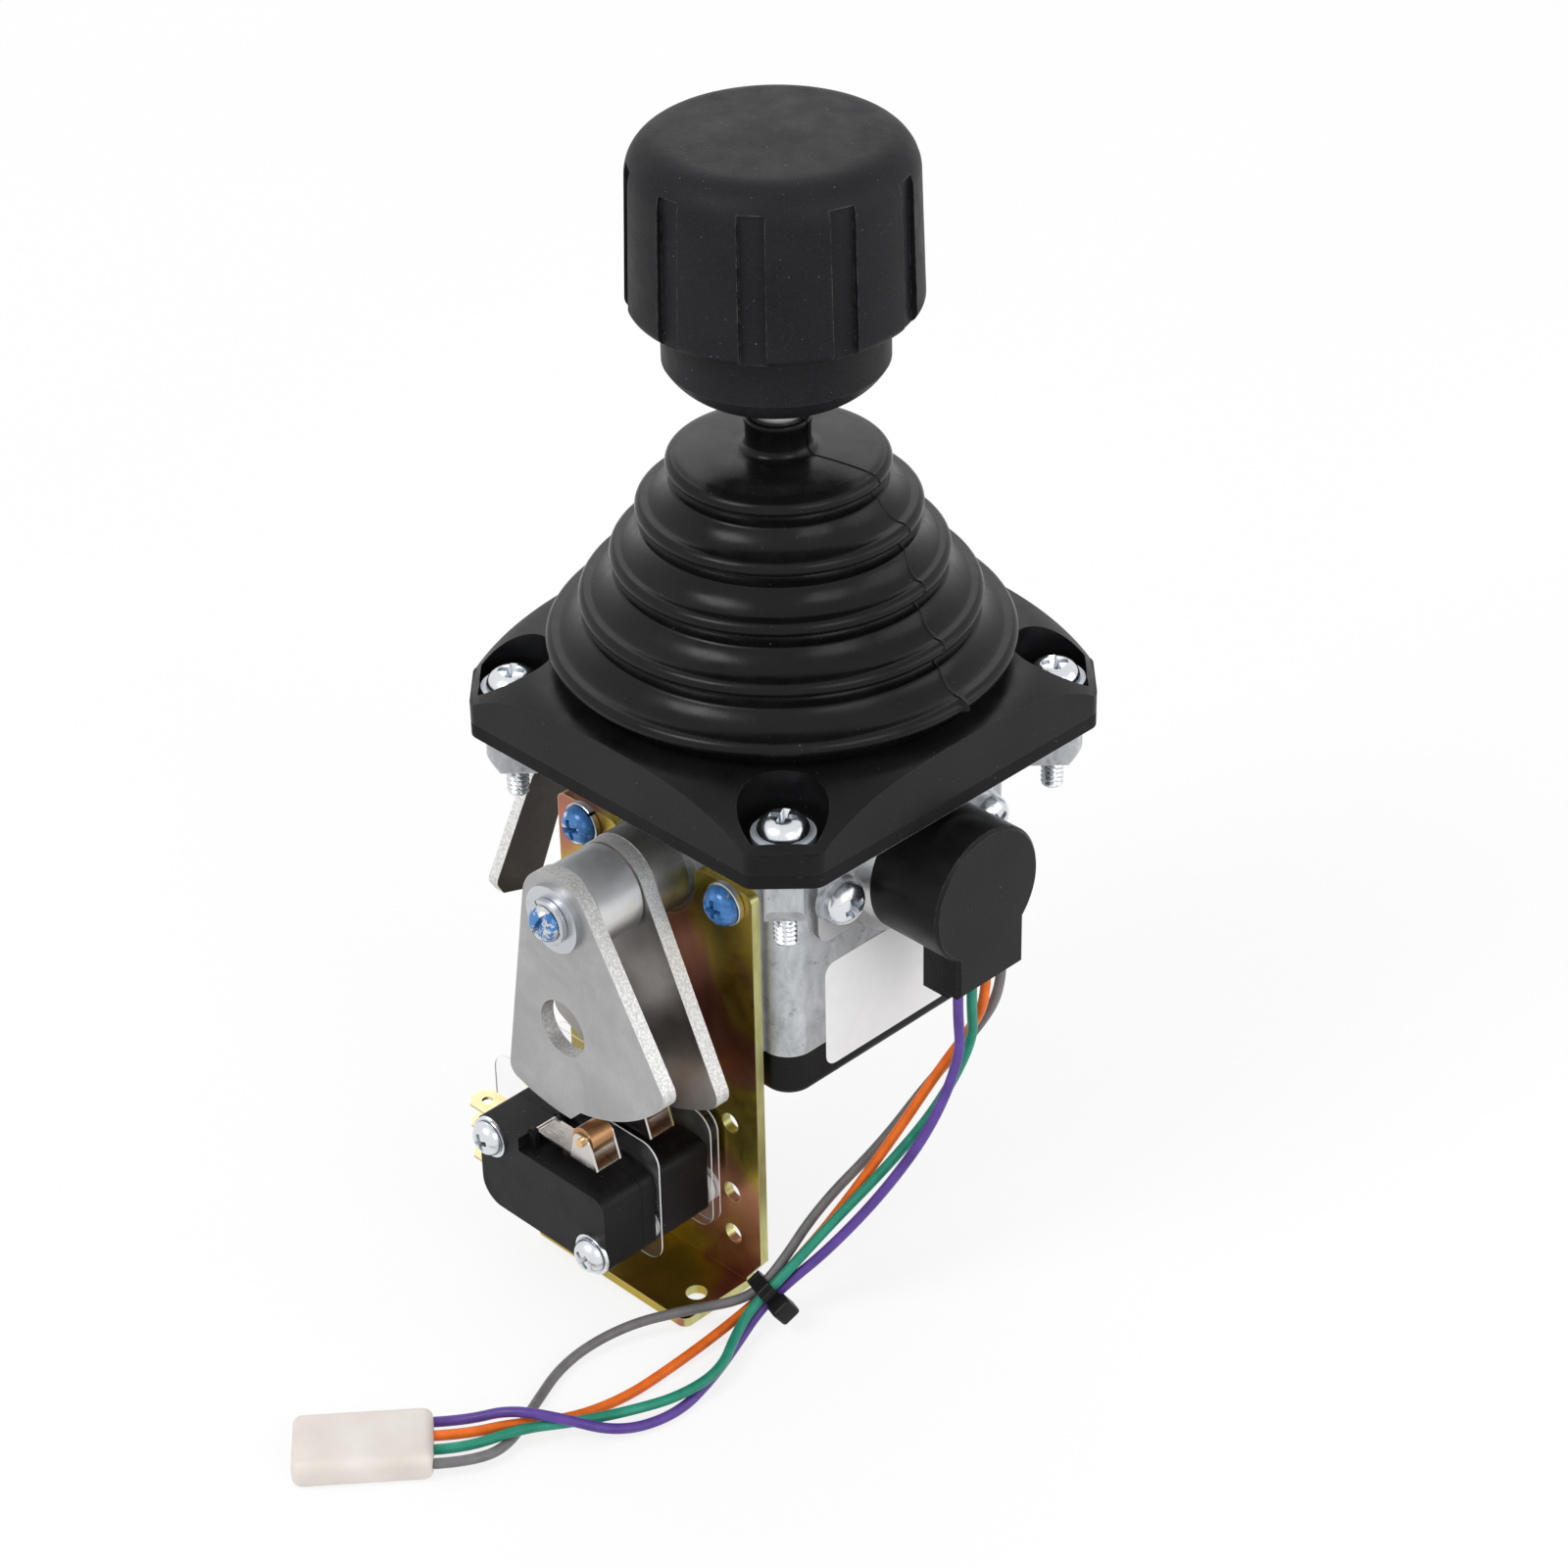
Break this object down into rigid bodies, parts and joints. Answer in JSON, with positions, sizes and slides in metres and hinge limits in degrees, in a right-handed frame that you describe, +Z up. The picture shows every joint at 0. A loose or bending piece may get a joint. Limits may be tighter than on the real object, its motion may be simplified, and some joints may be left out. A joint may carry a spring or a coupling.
{
  "type": "panel joystick",
  "caption": "Panel-mount tilting joystick with grip knob, bellows boot, cam-worked snap switches, side potentiometer, and a tied wire lead with plug.",
  "frame": {"origin": "centre of the panel plane under the gasket, on the lever's rest axis", "axes": "+Z up the lever, -Y to the switch bracket, +X to the potentiometer"},
  "size_m": [0.0782, 0.1408, 0.1805],
  "materials": {
    "knob_plastic": "soft-touch black moulding",
    "boot_rubber": "satin black rubber",
    "cover_plastic": "satin black moulding",
    "gasket_rubber": "matt black",
    "zinc_steel": "bright zinc",
    "yellow_steel": "yellow chromate",
    "blue_mark": "zinc with blue marking varnish",
    "cast_metal": "light grey die casting",
    "cap_plastic": "black",
    "foot_steel": "plain",
    "inner_steel": "turned",
    "cam_steel": "dull blanked steel",
    "collar_plastic": "black, worn",
    "switch_plastic": "black",
    "switch_button": "dark red",
    "leaf_steel": "bright spring steel",
    "pin_brass": "polished",
    "roller_bronze": "sintered bronze",
    "terminal_brass": "plain",
    "clear_film": "clear film",
    "spacer_nylon": "white",
    "plate_steel": "stainless",
    "pot_metal": "turned",
    "pot_plastic": "black",
    "wire_purple": "purple",
    "wire_green": "green",
    "wire_orange": "orange",
    "wire_grey": "grey",
    "tie_nylon": "black",
    "connector_nylon": "natural nylon"
  },
  "bodies": {
    "housing": {"cover": "cover_plastic", "gasket": "gasket_rubber", "corner_washers": "zinc_steel", "corner_screws": "zinc_steel", "boot": "boot_rubber", "casting": "cast_metal", "bottom_cap": "cap_plastic", "foot_plate": "foot_steel", "bracket": "yellow_steel", "bracket_lock_washers": "zinc_steel", "bracket_screws": "blue_mark", "switch_case_front": "switch_plastic", "switch_case_rear": "switch_plastic", "terminals_front": "terminal_brass", "terminals_rear": "terminal_brass", "insulators": "clear_film", "switch_spacers": "spacer_nylon", "switch_washers": "zinc_steel", "switch_screws": "zinc_steel", "switch_nuts": "zinc_steel", "pot_plate": "plate_steel", "pot_ring": "pot_metal", "pot_body": "pot_plastic", "pot_washers": "zinc_steel", "pot_screws": "zinc_steel", "centring_springs": "inner_steel", "wire_purple": "wire_purple", "wire_green": "wire_green", "wire_orange": "wire_orange", "wire_grey": "wire_grey", "cable_tie": "tie_nylon", "connector": "connector_nylon"},
    "yoke": {"yoke": "inner_steel", "cross_pin": "inner_steel", "shaft_front": "inner_steel", "shaft_rear": "inner_steel", "cam_collar": "collar_plastic", "cam_inner": "cam_steel", "cam_spacer": "inner_steel", "cam_outer": "cam_steel", "cam_washer": "zinc_steel", "cam_lock_washer": "zinc_steel", "cam_bolt": "blue_mark"},
    "lever": {"lever": "inner_steel", "knob": "knob_plastic"},
    "bail": {"bail": "inner_steel", "shaft_pot": "inner_steel", "shaft_arm": "inner_steel", "arm_spacer": "spacer_nylon", "crank_arm": "cam_steel", "arm_washer": "zinc_steel", "arm_bolt": "zinc_steel"},
    "front_arm": {"leaf_front": "leaf_steel", "roller_pin_front": "pin_brass"},
    "front_roller": {"roller_front": "roller_bronze"},
    "front_button": {"plunger_front": "switch_button"},
    "rear_arm": {"leaf_rear": "leaf_steel", "roller_pin_rear": "pin_brass"},
    "rear_roller": {"roller_rear": "roller_bronze"},
    "rear_button": {"plunger_rear": "switch_button"}
  },
  "joints": [
    {"name": "tilt_y", "type": "hinge", "parent": "housing", "child": "yoke", "pos_m": [0, 0, -0.0135], "axis": [0, 1, 0], "range_deg": [-18, 18], "stiffness_Nm_per_rad": 1.2, "deforming": ["boot", "centring_springs"]},
    {"name": "tilt_x", "type": "hinge", "parent": "yoke", "child": "lever", "pos_m": [0, 0, -0.0135], "axis": [1, 0, 0], "range_deg": [-18, 18], "stiffness_Nm_per_rad": 1.2, "deforming": ["boot"]},
    {"name": "bail_turn", "type": "hinge", "parent": "housing", "child": "bail", "pos_m": [0, 0, -0.0135], "axis": [1, 0, 0], "range_deg": [-18, 18], "deforming": ["centring_springs"]},
    {"name": "front_arm_turn", "type": "hinge", "parent": "housing", "child": "front_arm", "pos_m": [-0.0066, -0.04575, -0.0557], "axis": [0, 1, 0], "range_deg": [-7.4, 7.4]},
    {"name": "front_roller_spin", "type": "hinge", "parent": "front_arm", "child": "front_roller", "pos_m": [0.0042, -0.04575, -0.0519], "axis": [0, 1, 0], "continuous": true},
    {"name": "front_button_slide", "type": "slide", "parent": "housing", "child": "front_button", "axis": [0, 0, 1], "range_m": [-0.00066, 0.00066]},
    {"name": "rear_arm_turn", "type": "hinge", "parent": "housing", "child": "rear_arm", "pos_m": [-0.0066, -0.03475, -0.0557], "axis": [0, 1, 0], "range_deg": [-7.4, 7.4]},
    {"name": "rear_roller_spin", "type": "hinge", "parent": "rear_arm", "child": "rear_roller", "pos_m": [0.0042, -0.03475, -0.0519], "axis": [0, 1, 0], "continuous": true},
    {"name": "rear_button_slide", "type": "slide", "parent": "housing", "child": "rear_button", "axis": [0, 0, 1], "range_m": [-0.00066, 0.00066]}
  ],
  "couplings": [
    {"joint": "bail_turn", "follows": "tilt_x", "ratio": 1},
    {"joint": "front_arm_turn", "follows": "tilt_y", "ratio": -0.4},
    {"joint": "rear_arm_turn", "follows": "tilt_y", "ratio": 0.4},
    {"joint": "front_button_slide", "follows": "tilt_y", "m_per_rad": 0.002},
    {"joint": "rear_button_slide", "follows": "tilt_y", "m_per_rad": -0.002}
  ]
}
